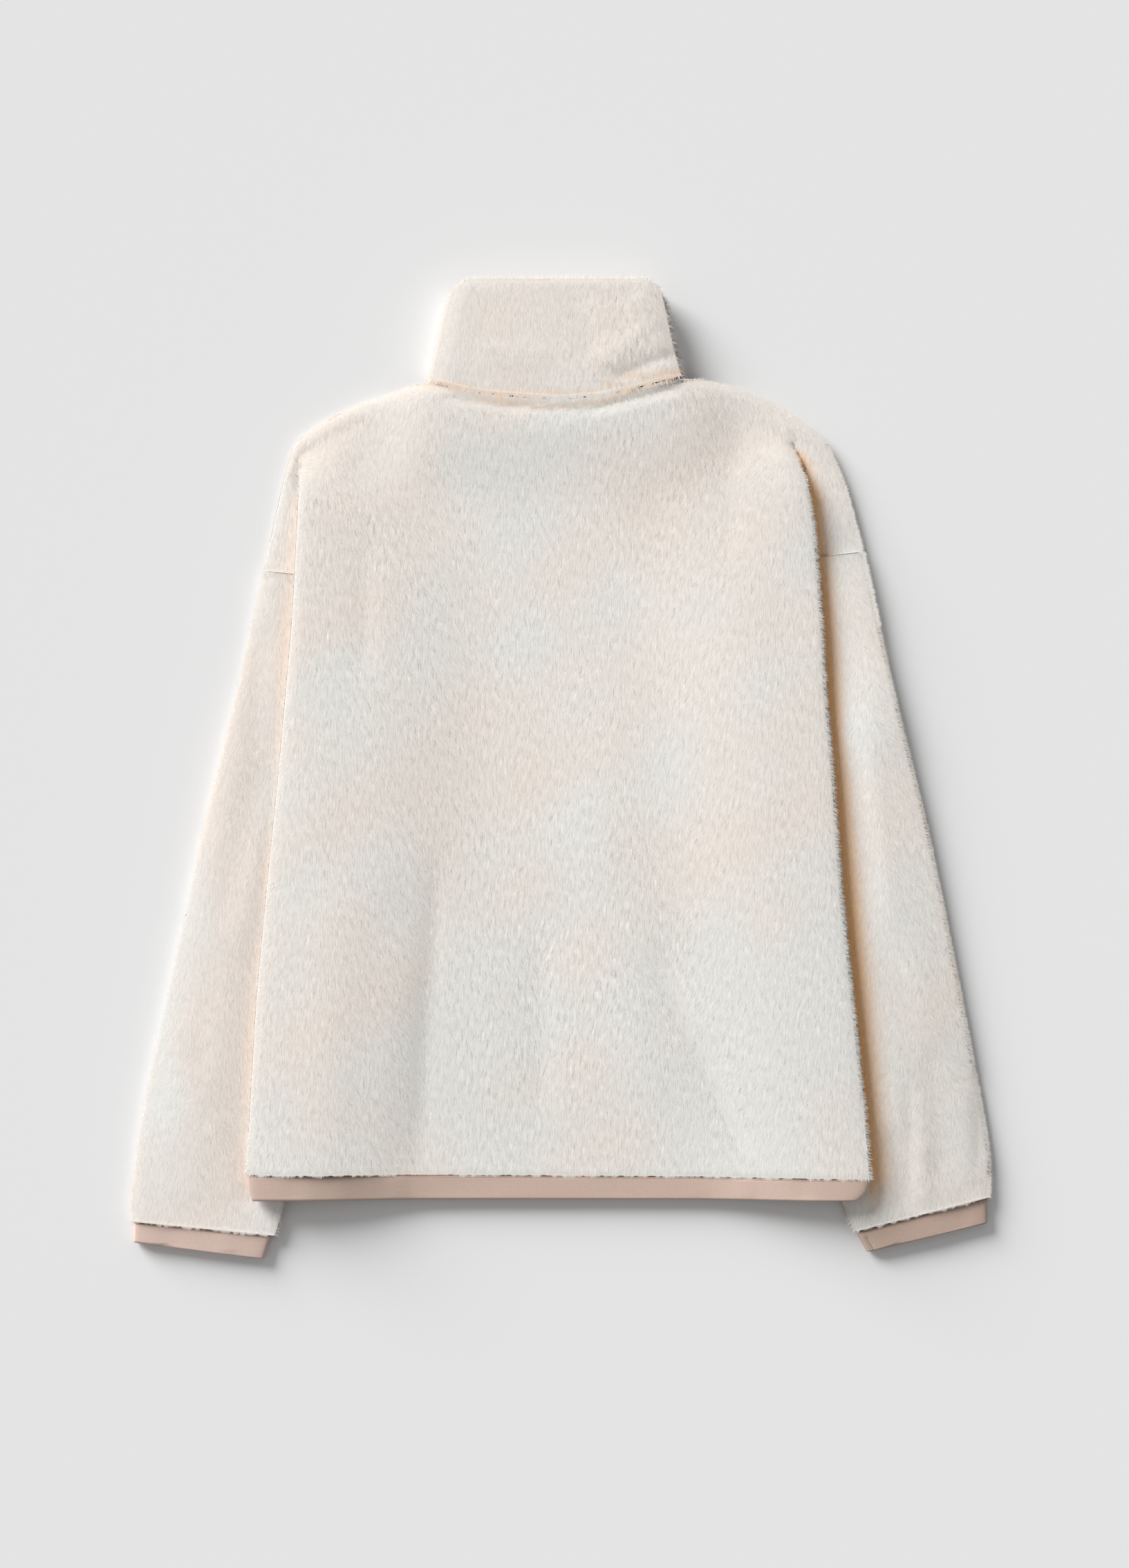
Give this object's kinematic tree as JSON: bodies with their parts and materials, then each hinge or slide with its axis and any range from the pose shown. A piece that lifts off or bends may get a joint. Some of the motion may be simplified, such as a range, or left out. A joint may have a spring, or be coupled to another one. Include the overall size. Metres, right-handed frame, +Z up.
{
  "type": "half zip sweatshirt",
  "caption": "Cream plush fleece half-zip sweatshirt laid flat on its front, back up, stand collar, drop shoulders, sleeves tucked under the sides, pink knit binding.",
  "frame": {"origin": "middle of the garment's overall outline, on the surface that it lies on", "axes": "+X to the right of the garment as seen from above (its back faces up), +Y from hem to collar, +Z up"},
  "size_m": [0.624, 0.71, 0.024],
  "materials": {
    "fleece": "cream plush coral fleece with a deep soft pile",
    "binding": "blush-pink fine rib knit binding",
    "zip_tape": "blush-pink woven zip tape",
    "zip_teeth": "blush-pink nylon coil teeth",
    "zip_metal": "satin steel slider, tab and stops"
  },
  "bodies": {
    "garment": {"back_panel": "fleece", "front_panel": "fleece", "collar": "fleece", "sleeve_left": "fleece", "sleeve_right": "fleece", "hem_binding": "binding", "cuff_binding_left": "binding", "cuff_binding_right": "binding", "zip_tape_left": "zip_tape", "zip_tape_right": "zip_tape", "zip_chain": "zip_teeth", "zip_slider": "zip_metal", "zip_stop_bottom": "zip_metal", "zip_stop_top_left": "zip_metal", "zip_stop_top_right": "zip_metal"},
    "pull_tab": {"zip_tab": "zip_metal"}
  },
  "joints": [
    {"name": "tab_hinge", "type": "hinge", "parent": "garment", "child": "pull_tab", "pos_m": [-0.004, 0.3005, 0.00175], "axis": [1, 0, 0], "range_deg": [0, 170]}
  ]
}
